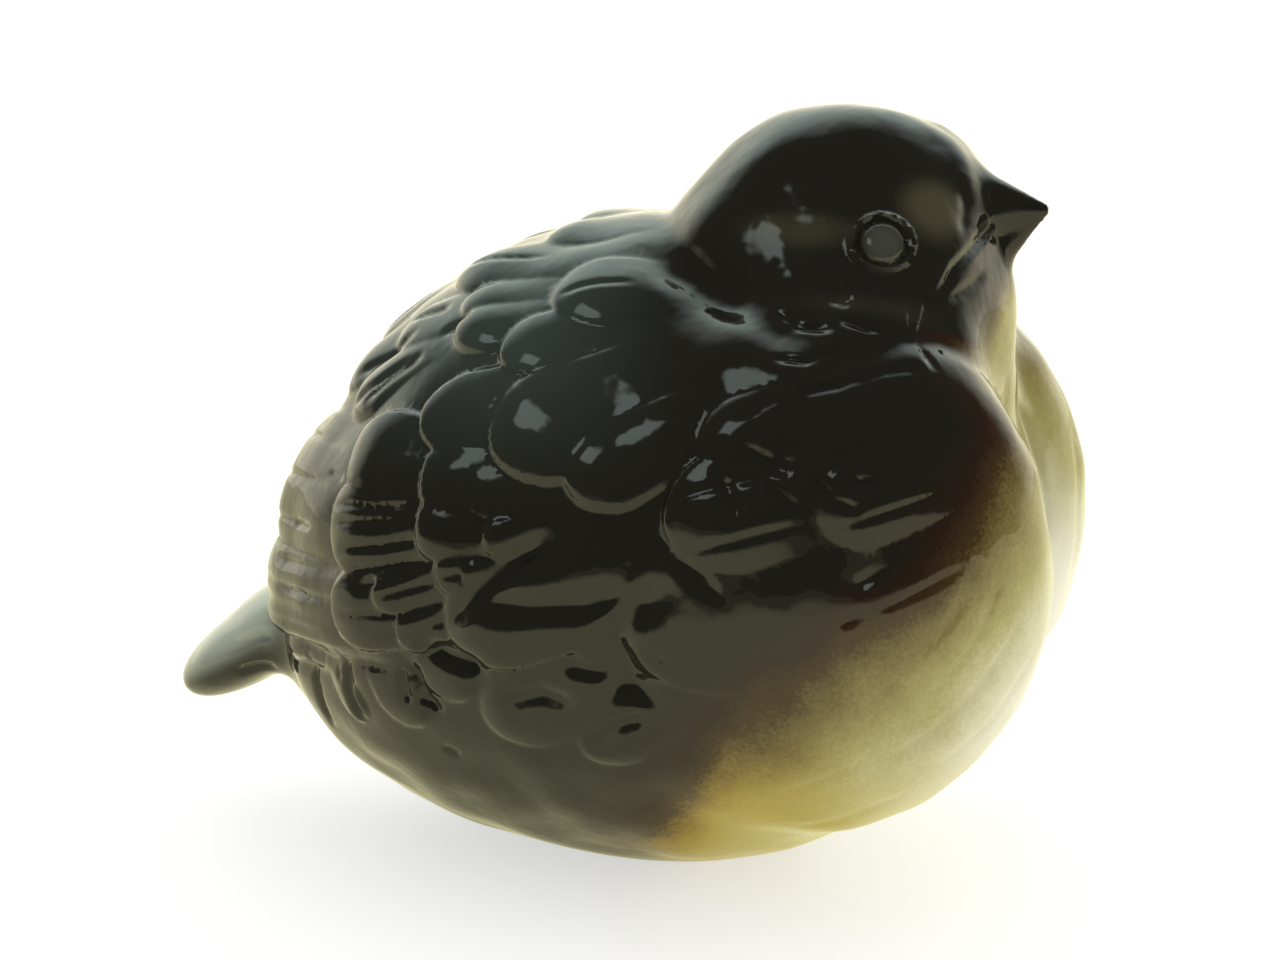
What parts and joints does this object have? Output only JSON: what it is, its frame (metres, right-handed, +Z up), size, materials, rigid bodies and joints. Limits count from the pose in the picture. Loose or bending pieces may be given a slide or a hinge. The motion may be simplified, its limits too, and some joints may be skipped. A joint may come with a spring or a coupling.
{
  "type": "bird figurine",
  "caption": "Plump resting songbird ornament, slip-cast hollow in one piece, with modelled feathers, a short tail that slopes down, a flat foot under its belly and a drain hole in it.",
  "frame": {"origin": "middle of the flat foot under the belly", "axes": "+X to the beak, +Z up, so the bird's right side is -Y"},
  "size_m": [0.1222, 0.085, 0.099],
  "materials": {
    "brown_glaze": "airbrushed near-black brown fading to mustard and cream, under a clear high-gloss glaze"
  },
  "bodies": {
    "root": {"bird": "brown_glaze"}
  },
  "joints": []
}
